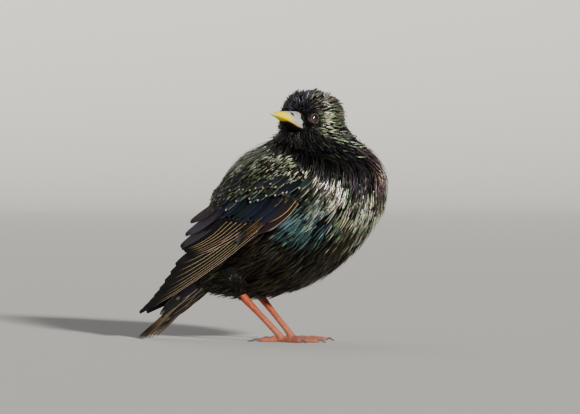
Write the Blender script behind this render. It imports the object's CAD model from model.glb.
import math

import bpy
import numpy as np
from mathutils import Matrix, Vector


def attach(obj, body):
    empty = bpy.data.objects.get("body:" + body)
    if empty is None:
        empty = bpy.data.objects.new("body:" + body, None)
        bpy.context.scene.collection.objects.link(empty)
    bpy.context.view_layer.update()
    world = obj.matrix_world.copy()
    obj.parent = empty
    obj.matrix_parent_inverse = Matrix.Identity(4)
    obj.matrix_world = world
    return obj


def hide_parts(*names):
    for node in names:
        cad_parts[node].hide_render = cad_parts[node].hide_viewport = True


# A starling standing with its head turned to the right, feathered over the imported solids.
# Every shape is worked out in millimetres in the bird's own frame, then moved with frameShift.

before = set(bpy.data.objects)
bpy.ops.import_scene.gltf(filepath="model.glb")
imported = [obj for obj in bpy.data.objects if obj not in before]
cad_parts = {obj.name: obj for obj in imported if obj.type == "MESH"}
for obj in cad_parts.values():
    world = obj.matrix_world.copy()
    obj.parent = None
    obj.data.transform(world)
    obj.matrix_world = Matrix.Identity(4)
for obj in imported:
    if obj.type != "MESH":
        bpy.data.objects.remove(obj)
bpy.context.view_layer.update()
print("frame loaded with", len(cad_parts), "solids")

mm = 0.001
frameShift = np.array((14.1, 5.8, 0.0))  # from the bird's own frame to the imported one
rng = np.random.default_rng(40)


# Smooth steps and curves.

def smooth(value, low, high):  # 0 at low, 1 at high, an S between
    t = np.clip((value - low) / (high - low), 0, 1)
    return t * t * (3 - 2 * t)


def bump(value, low, high, soft):  # 1 between low and high, falling off over soft
    return smooth(value, low - soft, low) * (1 - smooth(value, high, high + soft))


def unit(vectors):
    return vectors / np.maximum(np.linalg.norm(vectors, axis=-1, keepdims=True), 1e-9)


def blendRows(p0, p1, p2, p3, t):  # Catmull-Rom between p1 and p2
    return 0.5 * (
        2 * p1
        + (p2 - p0) * t
        + (2 * p0 - 5 * p1 + 4 * p2 - p3) * t**2
        + (3 * p1 - p0 - 3 * p2 + p3) * t**3
    )


def spline(rows, share):  # a smooth line through rows, share 0 at the first one
    rows = np.asarray(rows, float)
    rows = rows[:, None] if rows.ndim == 1 else rows
    k = np.clip(np.floor(share), 0, len(rows) - 2).astype(int)
    more = np.concatenate((2 * rows[:1] - rows[1:2], rows, 2 * rows[-1:] - rows[-2:-1]))
    return blendRows(more[k], more[k + 1], more[k + 2], more[k + 3], (share - k)[:, None])


# Shader nodes.

class Wire:  # a socket that adds, subtracts and multiplies through Math nodes
    def __init__(self, finish, socket):
        self.finish, self.socket = finish, socket

    def sum(self, operation, first, second):
        return self.finish.node("ShaderNodeMath", {"operation": operation}, {0: first, 1: second})

    def __add__(self, other):
        return self.sum("ADD", self, other)

    def __sub__(self, other):
        return self.sum("SUBTRACT", self, other)

    def __rsub__(self, other):
        return self.sum("SUBTRACT", other, self)

    def __mul__(self, other):
        return self.sum("MULTIPLY", self, other)

    __radd__, __rmul__ = __add__, __mul__

    def one(self, operation):  # a Math node of one input, such as SINE or ABSOLUTE
        return self.finish.node("ShaderNodeMath", {"operation": operation}, {0: self})

    def step(self, low, high):  # 0 at low, 1 at high, softened
        settings = {"interpolation_type": "SMOOTHSTEP", "clamp": True}
        return self.finish.node("ShaderNodeMapRange", settings, {0: self, 1: low, 2: high})


class Finish:  # one material with a Principled shader, whose fixed sockets are set here
    def __init__(self, name, **fixed):
        self.material = bpy.data.materials.new(name)
        self.material.use_nodes = True
        self.tree = self.material.node_tree
        self.shader = self.tree.nodes["Principled BSDF"]
        for key, value in fixed.items():
            self.shader.inputs[key.replace("_", " ")].default_value = value

    def node(self, kind, settings=None, inputs=None, output=0):
        made = self.tree.nodes.new(kind)
        for key, value in (settings or {}).items():
            setattr(made, key, value)
        for key, value in (inputs or {}).items():
            self.feed(made.inputs[key], value)
        return Wire(self, made.outputs[output])

    def feed(self, socket, value):
        if isinstance(value, Wire):
            self.tree.links.new(value.socket, socket)
        elif isinstance(value, tuple) and len(value) == 3 and socket.type == "RGBA":
            socket.default_value = (*value, 1)
        else:
            socket.default_value = value

    def mix(self, factor, first, second):  # colours, first where factor is 0
        return self.node("ShaderNodeMix", {"data_type": "RGBA"}, {0: factor, 6: first, 7: second}, 2)

    def tinted(self, colour, value):  # a colour made darker or lighter by a value
        return self.node("ShaderNodeVectorMath", {"operation": "SCALE"}, {0: colour, 3: value})

    def attribute(self, name, output=0):
        return self.node("ShaderNodeAttribute", {"attribute_name": name}, output=output)

    def pair(self, name):  # the two coordinates of one of the piece's own UV maps
        flat = self.node("ShaderNodeUVMap", {"uv_map": name})
        return [self.node("ShaderNodeSeparateXYZ", inputs={0: flat}, output=k) for k in (0, 1)]

    def place(self):
        return self.node("ShaderNodeTexCoord", output=3)

    def axis(self, k):
        return self.node("ShaderNodeSeparateXYZ", inputs={0: self.place()}, output=k)

    def noise(self, scale, detail=2.0, vector=None):
        inputs = {"Vector": vector or self.place(), "Scale": scale, "Detail": detail}
        return self.node("ShaderNodeTexNoise", inputs=inputs)

    def streaks(self, around, along, scale, detail=3.0):  # clouds stretched over the piece's own map
        vector = self.node("ShaderNodeCombineXYZ", inputs={0: around, 1: along})
        return self.noise(scale, detail, vector)

    def bumped(self, height, strength, distance):
        inputs = {"Strength": strength, "Distance": distance, "Height": height}
        self.wear(Normal=self.node("ShaderNodeBump", inputs=inputs))

    def wear(self, **sockets):  # what changes over the surface
        for key, value in sockets.items():
            self.feed(self.shader.inputs[key.replace("_", " ")], value)


# The mesh of many closed shells.

def shellLoops(rows, cols):
    # One shell's corners as (row, column): quads row by row, a fan to the tip, a cap on the root.
    r, c = np.divmod(np.arange((rows - 1) * cols), cols)
    quads = np.stack((r, c, r, c + 1, r + 1, c + 1, r + 1, c), 1).reshape(-1, 2)
    c, top = np.arange(cols), np.full(cols, rows - 1)
    fan = np.stack((top, c, top, c + 1, top + 1, c), 1).reshape(-1, 2)
    cap = np.stack((np.zeros(cols, int), c[::-1]), 1)
    sizes = np.concatenate((np.full((rows - 1) * cols, 4), np.full(cols, 3), [cols]))
    return np.concatenate((quads, fan, cap)), sizes


def linked(name, data):  # a new object in the scene
    thing = bpy.data.objects.new(name, data)
    bpy.context.scene.collection.objects.link(thing)
    return thing


def addPiece(name, parts, finish, nodes=()):
    # Each part holds rings (count, rows, cols, 3) with tips (count, 3), uv maps and colours.
    # Faces past the part's topmost columns are its underside and are shaded flat.
    points, loops, sizes, sharp, maps, paints, start = [], [], [], [], {}, {}, 0
    for part in parts:
        rings, tips = part["rings"], part["tips"]
        count, rows, cols = rings.shape[:3]
        pattern, faceSizes = shellLoops(rows, cols)
        middle = rings.mean(2)
        spokes = rings - middle[:, :, None]
        turning = np.cross(spokes, np.roll(spokes, -1, 2)).sum(2)
        ahead = np.diff(np.concatenate((middle, tips[:, None]), 1), axis=1)
        flip = ((turning * ahead).sum((1, 2)) < 0)[:, None, None, None]
        order = (part.get("top", cols - 1) - np.arange(cols)) % cols  # the other way, top still first
        rings = np.where(flip, rings[:, :, order], rings)
        each = rows * cols + 1
        index = np.where(pattern[:, 0] < rows, pattern[:, 0] * cols + pattern[:, 1] % cols, rows * cols)
        points.append(np.concatenate((rings.reshape(count, -1, 3), tips[:, None]), 1).reshape(-1, 3))
        loops.append((index[None] + start + each * np.arange(count)[:, None]).ravel())
        sizes.append(np.tile(faceSizes, count))
        column = np.append(np.tile(np.arange(cols), rows), cols)
        sharp.append(np.tile(column >= part.get("top", cols + 1), count))
        for key, flat in part.get("uvs", {}).items():
            turned = flat[:, :, order] if flat.shape[2] == cols else flat[:, :, ::-1]
            flat = np.where(flip, turned, flat)
            taken = flat[:, pattern[:, 0], pattern[:, 1] % flat.shape[2]]
            maps.setdefault(key, []).append(taken.reshape(-1, 2))
        for key, paint in part.get("paints", {}).items():
            if paint.ndim == 2:
                spread = np.repeat(paint, each, 0)
            else:
                paint = np.where(flip, paint[:, :, order], paint)
                ends = paint[:, -1].mean(1, keepdims=True)
                spread = np.concatenate((paint.reshape(count, -1, 4), ends), 1).reshape(-1, 4)
            paints.setdefault(key, []).append(spread)
        start += count * each
    points = (np.concatenate(points) + frameShift) * mm
    loops, sizes = np.concatenate(loops).astype(np.int32), np.concatenate(sizes)
    mesh = bpy.data.meshes.new(name)
    mesh.vertices.add(len(points))
    mesh.vertices.foreach_set("co", points.astype(np.float32).ravel())
    mesh.loops.add(len(loops))
    mesh.loops.foreach_set("vertex_index", loops)
    mesh.polygons.add(len(sizes))
    mesh.polygons.foreach_set("loop_start", (np.cumsum(sizes) - sizes).astype(np.int32))
    mesh.update(calc_edges=True)
    for key, flat in maps.items():
        layer = mesh.uv_layers.new(name=key)
        layer.uv.foreach_set("vector", np.concatenate(flat).astype(np.float32).ravel())
    for key, paint in paints.items():
        layer = mesh.attributes.new(key, "FLOAT_COLOR", "POINT")
        layer.data.foreach_set("color", np.concatenate(paint).astype(np.float32).ravel())
    mesh.shade_smooth()
    flatFaces = mesh.attributes.new("sharp_face", "BOOLEAN", "FACE")
    flatFaces.data.foreach_set("value", np.concatenate(sharp))
    mesh.materials.append(finish.material)
    piece = linked(name, mesh)
    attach(piece, "root")
    if nodes:
        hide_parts(*nodes)
    print(name, "with", int((sizes - 2).sum()), "triangles")


def gridMap(across, along):  # a uv map from two (rows, cols) arrays, for every shell of a part
    return np.stack((across, along), -1)


# The bird's surface.

bodyRings = (  # back x and z, front x and z, half width, lean
    (-54.4, 36.0, -45.6, 25.0, 8.0, 0),
    (-49.5, 54.0, -37.0, 24.0, 14.0, 0),
    (-42.0, 72.0, -18.0, 22.6, 20.5, 0),
    (-35.0, 87.4, 4.5, 26.7, 26.5, 0),
    (-26.6, 97.8, 25.1, 36.5, 30.0, 0),
    (-17.4, 104.6, 43.4, 53.2, 31.0, 0),
    (-9.8, 107.8, 54.4, 69.5, 30.0, 0),
    (-7.0, 109.6, 56.2, 86.7, 27.5, 0.8),
    (-5.6, 110.6, 52.2, 96.4, 25.0, 2.4),
    (-5.0, 111.4, 43.8, 103.2, 22.0, 4.2),
)
headRings = (  # up, forward, half length, half width, pitch in degrees
    (-2.0, -6.8, 20.6, 18.0, -13),
    (3.4, -6.2, 20.4, 16.8, -5),
    (9.4, -5.9, 19.6, 15.7, 4),
    (14.4, -5.8, 16.6, 13.6, 8),
    (18.0, -5.8, 11.2, 9.4, 9),
    (19.9, -5.8, 4.6, 4.0, 9),
)
headCentre = np.array((15.4, -9.0, 116.6))
headTurn, headPitch = math.radians(-100), math.radians(9)
crownTop = (-5.8, 0.0, 20.4)
lastShare = len(bodyRings) + len(headRings) - 1


def headAxes(pitch=headPitch):  # forward, left and up of the head
    level = np.array((math.cos(headTurn), math.sin(headTurn), 0))
    left = np.array((-level[1], level[0], 0))
    forward = level * math.cos(pitch) + np.array((0, 0, math.sin(pitch)))
    return forward, left, np.cross(forward, left)


headForward, headLeft, headUp = headAxes()


def headPlace(forward, left, up):
    parts = (np.asarray(v, float)[..., None] for v in (forward, left, up))
    return headCentre + sum(v * axis for v, axis in zip(parts, headAxes()))


def headParts(points):  # forward, left and up of points, seen from the head's centre
    away = points - headCentre
    return away @ headForward, away @ headLeft, away @ headUp


def bodySurface(share, angle):
    # A smooth line down the rings at each angle; angle 0 is the breast and a quarter turn the left.
    shape = np.broadcast(share, angle).shape
    share, angle = (np.broadcast_to(v, shape).ravel() for v in (share, angle))
    cosA, sinA = np.cos(angle)[:, None], np.sin(angle)[:, None]
    rows = []
    for backX, backZ, frontX, frontZ, half, lean in bodyRings:
        middle = np.array((backX + frontX, 0, backZ + frontZ)) / 2
        reach = np.array((frontX - backX, 0, frontZ - backZ)) / 2
        rows.append(middle + cosA * reach + sinA * np.array((0, half, lean)))
    turned = angle - headTurn
    for up, ahead, halfLength, halfWidth, pitch in headRings:
        forward, left, _ = headAxes(math.radians(pitch))
        rows.append(
            headPlace(ahead, 0, up)
            + np.cos(turned)[:, None] * forward * halfLength
            + np.sin(turned)[:, None] * left * halfWidth
        )
    rows = np.array([2 * rows[0] - rows[1], *rows, 2 * rows[-1] - rows[-2]])
    k = np.clip(np.floor(share), 0, lastShare - 1).astype(int)
    each = np.arange(len(share))
    picked = [rows[k + i, each] for i in range(4)]
    return blendRows(*picked, (share - k)[:, None]).reshape(shape + (3,))


def withNormals(surface, u, v, stepU, stepV, side):
    # A point of the surface, its outward normal and its two slopes, from small differences.
    here = surface(u, v)
    slopeU = (surface(u + stepU, v) - surface(u - stepU, v)) / (2 * stepU)
    slopeV = (surface(u, v + stepV) - surface(u, v - stepV)) / (2 * stepV)
    return here, unit(np.cross(slopeV, slopeU)) * side, slopeU, slopeV


def turnFrom(angle):  # how far an angle is from 0 either way, in degrees
    return np.degrees(np.abs((angle + math.pi) % (2 * math.pi) - math.pi))


headHeart = (-6.2, 0.0, 2.0)  # where the head's feather lines are measured from


def headAngles(points):  # phi and psi of points, seen from the head's heart
    forward, left, up = np.moveaxis(np.stack(headParts(points), -1) - np.array(headHeart), -1, 0)
    return np.arctan2(np.hypot(left, up), forward), np.arctan2(left, up)


tableRows, tableCols = 46, 96


def headTable():
    # How far the head's surface is from its heart: phi from the bill, psi round it from the crown.
    share, angle = np.meshgrid(np.arange(7.6, 15.01, 0.06), np.radians(np.arange(0, 360, 2.5)))
    points = np.concatenate((bodySurface(share, angle).reshape(-1, 3), headPlace(*crownTop)[None]))
    away = np.stack(headParts(points), 1) - np.array(headHeart)
    far = np.linalg.norm(away, axis=1)
    phi, psi = np.meshgrid(
        np.linspace(0, math.pi, tableRows), np.linspace(-math.pi, math.pi, tableCols), indexing="ij"
    )
    look = headLook(phi, psi).reshape(-1, 3)
    closeness = look @ (away / far[:, None]).T
    best = closeness.max(1)
    weight = np.exp(450 * (closeness - best[:, None]))
    reach = (weight @ far) / weight.sum(1)
    return reach.reshape(phi.shape), best.reshape(phi.shape)


def headLook(phi, psi):
    return np.stack((np.cos(phi), np.sin(psi) * np.sin(phi), np.cos(psi) * np.sin(phi)), -1)


reachTable, nearTable = headTable()


def fromTable(table, phi, psi):
    row = np.clip(phi / math.pi, 0, 0.9999) * (tableRows - 1)
    col = ((psi + math.pi) / (2 * math.pi) % 1) * (tableCols - 1)
    r, c = np.floor(row).astype(int), np.floor(col).astype(int)
    a, b = row - r, col - c
    return (
        table[r, c] * (1 - a) * (1 - b)
        + table[r + 1, c] * a * (1 - b)
        + table[r, c + 1] * (1 - a) * b
        + table[r + 1, c + 1] * a * b
    )


def headSurface(phi, psi):  # the head's point seen from its heart at phi and psi
    away = headLook(phi, psi) * fromTable(reachTable, phi, psi)[..., None] + np.array(headHeart)
    return headPlace(away[..., 0], away[..., 1], away[..., 2])


def bodyReach(x, z):
    # How far the trunk reaches sideways at x and z: the widest ring whose line passes there.
    share = np.arange(0, 9.01, 0.06)
    rings = spline(np.array(bodyRings), share)
    back, front, half = rings[:, 0:2], rings[:, 2:4], rings[:, 4]
    middle, reach = (back + front) / 2, (front - back) / 2
    where = np.stack((x.ravel(), z.ravel()), 1)[:, None] - middle
    off = where[..., 1] * reach[:, 0] - where[..., 0] * reach[:, 1]
    along = (where * reach).sum(2) / (reach**2).sum(1)
    wide = half * np.sqrt(np.clip(1 - along**2, 0, None))
    a, b = off[:, :-1], off[:, 1:]
    crossed = a * b <= 0
    t = a / np.where(np.abs(a - b) < 1e-9, 1e-9, a - b)
    value = wide[:, :-1] + (wide[:, 1:] - wide[:, :-1]) * t
    return np.where(crossed, value, 0).max(1).reshape(x.shape)


# Colours of the plumage.

sheens = {  # red, green, blue and how much of it is a metal-like gloss
    "black": (0.012, 0.011, 0.012, 0.30),
    "crown": (0.100, 0.100, 0.125, 0.85),
    "bronze": (0.340, 0.320, 0.200, 0.92),
    "ear": (0.480, 0.560, 0.350, 0.95),
    "throat": (0.045, 0.042, 0.044, 0.72),
    "ruff": (0.420, 0.270, 0.250, 0.90),
    "breast": (0.880, 0.920, 0.620, 0.96),
    "teal": (0.200, 0.420, 0.440, 0.92),
    "belly": (0.047, 0.039, 0.025, 0.75),
    "mantle": (0.560, 0.640, 0.420, 0.92),
    "rump": (0.090, 0.095, 0.085, 0.75),
}
buff = (0.42, 0.27, 0.13)
cream = (0.62, 0.52, 0.38)


def layered(base, shape, layers):  # a base sheen under others, each laid on by its amount
    colour = np.broadcast_to(np.array(sheens[base]), shape + (4,))
    for name, amount in layers:
        colour = colour + (np.array(sheens[name]) - colour) * amount[..., None]
    return colour


def bodyTint(share, angle):
    turn = turnFrom(angle)
    front = 1 - smooth(turn, 95, 125)
    return layered("belly", share.shape, (
        ("teal", front * bump(share, 4.9, 5.9, 0.8) * smooth(turn, 35, 65)),
        ("breast", front * bump(share, 5.9, 6.7, 0.6)),
        ("throat", smooth(share, 6.5, 7.5) * (1 - smooth(turn, 120, 150))),
        ("ruff", bump(share, 8.2, 9.4, 0.7) * (1 - smooth(turn, 8, 34)) * 0.8),
        ("mantle", smooth(turn, 100, 130) * bump(share, 4.4, 6.8, 1.4)),
        ("rump", smooth(turn, 100, 130) * (1 - smooth(share, 3.0, 4.5))),
        ("black", 1 - smooth(share, 0.6, 1.8)),
    ))


def headTint(phi, psi):
    phi, psi = np.degrees(phi), turnFrom(psi)
    return layered("crown", phi.shape, (
        ("bronze", bump(phi, 50, 110, 25) * bump(psi, 30, 65, 22) * 0.6),
        ("ear", bump(phi, 47, 112, 16) * bump(psi, 66, 112, 16)),
        ("throat", smooth(psi, 118, 140)),
        ("black", (1 - smooth(phi, 26, 46)) * bump(psi, 62, 180, 22)),
        ("throat", smooth(phi, 112, 132) * 0.85),
    ))


# Finishes of the feathers.

fullTurn = 6.2832  # in radians, as the SINE nodes take it


def featherFinish(name, roughness, barbs, barbStrength, gloss):
    # Tint over the vane, a pale edge, a pale or dark tip, and fine barbs slanting off the shaft.
    finish = Finish(name, IOR=1.5, Specular_IOR_Level=gloss)
    across, along = finish.pair("vane")
    tint, sheen = finish.attribute("tint"), finish.attribute("tint", 3)
    fromShaft = (across - 0.5).one("ABSOLUTE")
    slant = (along * barbs + fromShaft * (barbs * 0.12)) * fullTurn
    lines = slant.one("SINE") * 0.5 + 0.5
    mottle = finish.noise(900.0, 2.0)
    shade = (0.62 + along.step(0.0, 0.7) * 0.38) * (0.80 + lines * 0.12 + mottle * 0.16)
    shade = shade * (1 - (1 - fromShaft.step(0.0, 0.035)) * 0.45)
    colour = finish.tinted(tint, shade)
    edge, edgeAmount = finish.attribute("edge"), finish.attribute("edge", 3)
    rim = (1 - across.step(0.030, 0.052)) * (1 - along.step(0.70, 0.90)) * edgeAmount
    colour = finish.mix(rim, colour, edge)
    tip, tipAmount = finish.attribute("tip"), finish.attribute("tip", 3)
    end = (along - fromShaft * 0.25 + mottle * 0.08).step(0.84, 0.95) * tipAmount
    colour = finish.mix(end, colour, tip)
    finish.wear(
        Base_Color=colour,
        Metallic=sheen * (1 - rim) * (1 - end),
        Roughness=roughness + mottle * 0.12 + lines * 0.05 + rim * 0.2,
    )
    finish.bumped(lines, barbStrength, 0.00008)
    return finish


plumageFinish = featherFinish("plumage", 0.29, 7.0, 0.35, 0.45)
flightFinish = featherFinish("flight feathers", 0.42, 46.0, 0.5, 0.22)


def skinFinish():
    finish = Finish("skin under the feathers", Specular_IOR_Level=0.25)
    tint = finish.attribute("tint")
    mottle = finish.noise(1400.0, 3.0)
    finish.wear(Base_Color=finish.tinted(tint, 0.02 + mottle * 0.05), Roughness=0.6 + mottle * 0.2)
    finish.bumped(mottle, 0.5, 0.0002)
    return finish


# Locks: small closed feathers of three sides.

lockLook = {
    "levels": (0.0, 0.36, 0.66, 0.87, 1.0),  # where along the feather its rings are
    "widths": (0.55, 1.0, 0.80, 0.42),
    "ridge": 0.26, "patch": 0.0015,  # its back over its half width, half its place on OFBake
}


def locks(surface, side, u, v, run, lifts, half, roll, tint, tip, bakeAt, steps=(0.02, 0.02)):
    # From each root the path steps over the surface by run, lifted as lifts say; each ring is
    # the left edge, the back and the right edge, turned a little about the path.
    t = np.array(lockLook["levels"])
    pathU, pathV = u[:, None] + run[0][:, None] * t, v[:, None] + run[1][:, None] * t
    here, normal, _, _ = withNormals(surface, pathU, pathV, *steps, side)
    spine = here + normal * lifts[..., None]
    ahead = unit(np.gradient(spine, axis=1))
    across = unit(np.cross(normal, ahead))
    above = np.cross(ahead, across)
    cosR, sinR = np.cos(roll)[:, None, None], np.sin(roll)[:, None, None]
    across, above = across * cosR + above * sinR, above * cosR - across * sinR
    wide = (half[:, None] * np.array(lockLook["widths"]))[..., None]
    low, sides = spine[:, :-1], across[:, :-1] * wide
    rings = np.stack((low + sides, low + above[:, :-1] * wide * lockLook["ridge"], low - sides), 2)
    flatX, flatY = np.meshgrid((0.0, 0.5, 1.0), t)
    flat = np.stack((flatX, flatY), -1)[None]
    count = len(u)
    bake = np.stack(bakeAt, -1)[:, None, None] + (flat - 0.5) * 2 * lockLook["patch"]
    return {
        "rings": rings,
        "top": 2,
        "tips": spine[:, -1],
        "uvs": {"vane": np.broadcast_to(flat, (count,) + flat.shape[1:]), "OFBake": bake},
        "paints": {"tint": tint, "tip": tip, "edge": np.zeros((count, 4))},
    }


def chosen(part, keep):  # the shells of a part that are kept, with their maps and colours
    if isinstance(part, dict):
        return {key: chosen(value, keep) for key, value in part.items()}
    return part[keep] if isinstance(part, np.ndarray) else part


def varied(colour, spread, dull=None):  # each feather lighter or darker, dull ones nearly black
    count = len(colour)
    colour = np.array(colour, float)
    if dull is not None:
        colour[dull, :3] = colour[dull, :3] * 0.05 + 0.005
    colour[:, :3] *= np.exp(rng.normal(0, spread, (count, 1)) - spread**2 / 2)
    colour[:, :3] *= np.exp(rng.normal(0, 0.14, (count, 3)))
    return np.clip(colour, 0, 0.9)


def patchy(u, v, along, across):
    # Stretched clouds from 0 to 1: sums of sines whose waves are long down the body, short round it.
    cloud = 0
    for _ in range(6):
        turn, phase = rng.uniform(-0.35, 0.35), rng.uniform(0, 2 * math.pi)
        pitch = rng.uniform(0.7, 1.5)
        cloud = cloud + np.sin((u / along + v / across * math.cos(turn)) * 6.28 * pitch + phase)
        cloud = cloud + np.sin((u / along * turn - v / across) * 6.28 * pitch + 2 * phase)
    return smooth(cloud, -2.5, 2.5)


coatRise = (0.0, 0.40, 0.70, 0.89, 1.0)  # how a feather rises from the skin to its tip
coatDepth = 2.0  # how far the skin lies inside the solids
coatDull = -0.9  # where the tips of dull feathers end, measured out from the solids


def standing(look, high, dull):
    # The lifts from the skin to each tip: dull feathers lie low, a few glossy ones stick out.
    count = len(high)
    off = high * rng.uniform(-0.6, 1.0, count)
    off = np.where(rng.random(count) < look["spikes"], high + rng.uniform(0.0, 0.9, count), off)
    off = np.where(dull, coatDull + high * rng.uniform(-0.3, 0.3, count), off)
    return -coatDepth + (coatDepth + off)[:, None] * np.array(coatRise)


def runsOf(surface, u, v, step, length, sway):
    # How far feathers of that length run in u and v, each turned a little to one side.
    _, _, slopeU, slopeV = withNormals(surface, u, v, step, step, 1)
    heading = np.radians(rng.normal(0, sway, len(u)))
    runU = length * np.cos(heading) / np.linalg.norm(slopeU, axis=1)
    return runU, length * np.sin(heading) / np.linalg.norm(slopeV, axis=1)


def tipPaint(colour, amount):
    return np.concatenate((np.broadcast_to(colour, (len(amount), 3)), amount[:, None]), 1)


evenSteps = (0.7548776662, 0.5698402910)  # steps whose remainders fill a square evenly


def evenPairs(count, *ranges):  # that many points spread evenly over two ranges
    k = np.arange(count) + 0.5
    return [low + (high - low) * ((k * step) % 1) for (low, high), step in zip(ranges, evenSteps)]


def scattered(count, shareRange, angleRange):  # even roots, thinned where the surface is small
    share, angle = evenPairs(count * 3, shareRange, angleRange)
    _, _, slopeU, slopeV = withNormals(bodySurface, share, angle, 0.02, 0.02, 1)
    area = np.linalg.norm(np.cross(slopeU, slopeV), axis=1)
    keep = np.flatnonzero(rng.random(len(share)) < area / area.max())
    keep = np.sort(rng.permutation(keep)[:count])
    return share[keep], angle[keep]


trunkCoats = {  # by share: feather length, half width of dull and glossy ones, lift at the tip
    "throat_hackles": {
        "count": 8000, "shares": (6.5, 10.9), "angles": (-180, 180), "slot": "throat",
        "length": ((6.5, 8.5, 10, 11), (13.0, 18.0, 17.0, 10.0)),
        "half": ((7, 9, 11), (0.66, 0.62, 0.48)), "fine": 0.34,
        "lift": ((7, 8.5, 10, 11), (0.7, 1.2, 1.2, 0.4)),
        "sway": 5.0, "roll": 18, "spread": 0.60, "dull": 0.74, "spikes": 0.24,
    },
    "breast_feathers": {
        "count": 6200, "shares": (3.6, 6.9), "angles": (-115, 115), "slot": "plumage",
        "length": ((3.6, 6, 7.5), (12.0, 11.0, 12.0)),
        "half": ((3.6, 7.5), (0.85, 0.85)), "fine": 0.50,
        "lift": ((3.6, 6, 7.5), (0.6, 0.6, 0.7)),
        "sway": 7.0, "roll": 12, "spread": 0.60, "dull": 0.60, "spikes": 0.18,
    },
    "belly_feathers": {
        "count": 7600, "shares": (0.2, 3.9), "angles": (-125, 125), "slot": "plumage",
        "length": ((0.2, 2, 3.9), (9.0, 12.0, 13.0)),
        "half": ((0.2, 3.9), (0.62, 0.80)), "fine": 0.40,
        "lift": ((0.2, 2, 3.9), (0.7, 1.0, 0.6)),
        "sway": 8.0, "roll": 18, "spread": 0.60, "dull": 0.74, "spikes": 0.16,
    },
    "back_feathers": {
        "count": 6000, "shares": (0.2, 8.6), "angles": (105, 255), "slot": "plumage",
        "length": ((0.2, 4, 8.6), (9.0, 10.0, 11.0)),
        "half": ((0.2, 4, 8.6), (0.85, 1.0, 0.85)), "fine": 0.55,
        "lift": ((0.2, 4, 8.6), (0.5, 0.6, 0.7)),
        "sway": 7.0, "roll": 12, "spread": 0.60, "dull": 0.70, "spikes": 0.12,
    },
}


def trunkCoat(name, look):
    share, angle = scattered(look["count"], look["shares"], np.radians(look["angles"]))
    count = len(share)
    length = np.interp(share, *look["length"]) * rng.uniform(0.72, 1.12, count)
    runShare, runAngle = runsOf(bodySurface, share, angle, 0.02, length, look["sway"])
    runShare = np.maximum(-runShare, -0.75 - share)  # none runs past the root of the tail
    cloud = patchy(share, angle, 2.2, 0.55)
    dull = rng.random(count) < look["dull"] + 0.5 * (0.5 - cloud)
    lifts = standing(look, np.interp(share, *look["lift"]), dull)
    half = np.where(dull, np.interp(share, *look["half"]), look["fine"]) * rng.uniform(0.75, 1.25, count)
    roll = np.radians(rng.normal(0, look["roll"], count))
    placed = share + rng.normal(0, 0.33, count)  # so that no region ends on a line
    tint = varied(bodyTint(placed, angle + rng.normal(0, 0.12, count)), look["spread"], dull)
    turn = turnFrom(angle)
    tipped = (rng.random(count) < 0.35) * smooth(turn, 110, 135) * smooth(share, 3.5, 5.0) * 0.8
    bakeAt = ((angle / (2 * math.pi)) % 1, (share + 1) / 17)
    part = locks(
        bodySurface, 1, share, angle, (runShare, runAngle), lifts, half, roll,
        tint, tipPaint(buff, tipped), bakeAt,
    )
    addPiece(name, [part], plumageFinish, ("neck",) if name[0] == "t" else ())


headCoat = {
    "count": 7600, "from": 11, "to": 140,  # degrees back from the bill
    "thin": ((10, 28, 55, 140), (1.0, 0.9, 0.36, 0.34)),  # part of the roots that are kept
    "length": ((10, 25, 45, 90, 140), (1.7, 3.0, 5.0, 7.5, 11.0)),
    "half": ((10, 30, 60, 100, 140), (0.30, 0.46, 0.66, 0.72, 0.68)),
    "fine": ((10, 30, 60, 140), (0.20, 0.32, 0.44, 0.40)),  # of the glossy ones
    "lift": ((10, 30, 60, 140), (0.0, 0.2, 0.5, 0.7)),
    "sway": 7.0, "roll": 12, "spread": 0.65, "dull": 0.64, "spikes": 0.24,
    "chin": 1000, "chinReach": (9.0, 25.0), "chinFar": (-80, -55), "chinNear": (72, 36),
    "lore": 1500, "loreAt": 12.5, "loreLine": (  # up, and how far forward the feathers reach there
        (-4.1, -3.0, -2.0, -1.2, -0.4, 0.4, 1.6, 3.5, 5.4),
        (12.2, 13.2, 14.3, 12.8, 11.4, 12.8, 14.3, 12.6, 12.2),
    ),
    "ring": 620, "ringWide": (3.05, 5.4), "ringLength": 1.9, "ringHalf": 0.28,  # round each eye
    "eyeClear": 0.40, "gape": (12.2, 6.4, -3.6, 1.4),  # forward, to the side, lowest, highest
}
eyeAt = (8.2, 8.3, 2.2)  # forward, to the side and up from the head's centre
eyeRadius, eyeOpening = 3.4, 2.58
billStations = np.array((  # forward, half width, culmen, depth
    (8.0, 5.2, 5.6, 4.6), (14.0, 4.8, 5.3, 3.9), (19.0, 4.1, 4.5, 2.55), (25.0, 3.1, 3.5, 1.45),
    (31.0, 2.1, 2.4, 0.85), (36.0, 1.1, 1.3, 0.55), (39.0, 0.35, 0.4, 0.3),
))


def eyeFrame(side):  # the eye's centre, the way that it looks, and two directions across it
    centre = headPlace(eyeAt[0], side * eyeAt[1], eyeAt[2])
    out = unit(headLeft * side + headForward * 0.42)
    up = unit(headUp - out * (headUp @ out))
    return centre, out, up, np.cross(out, up)


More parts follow.
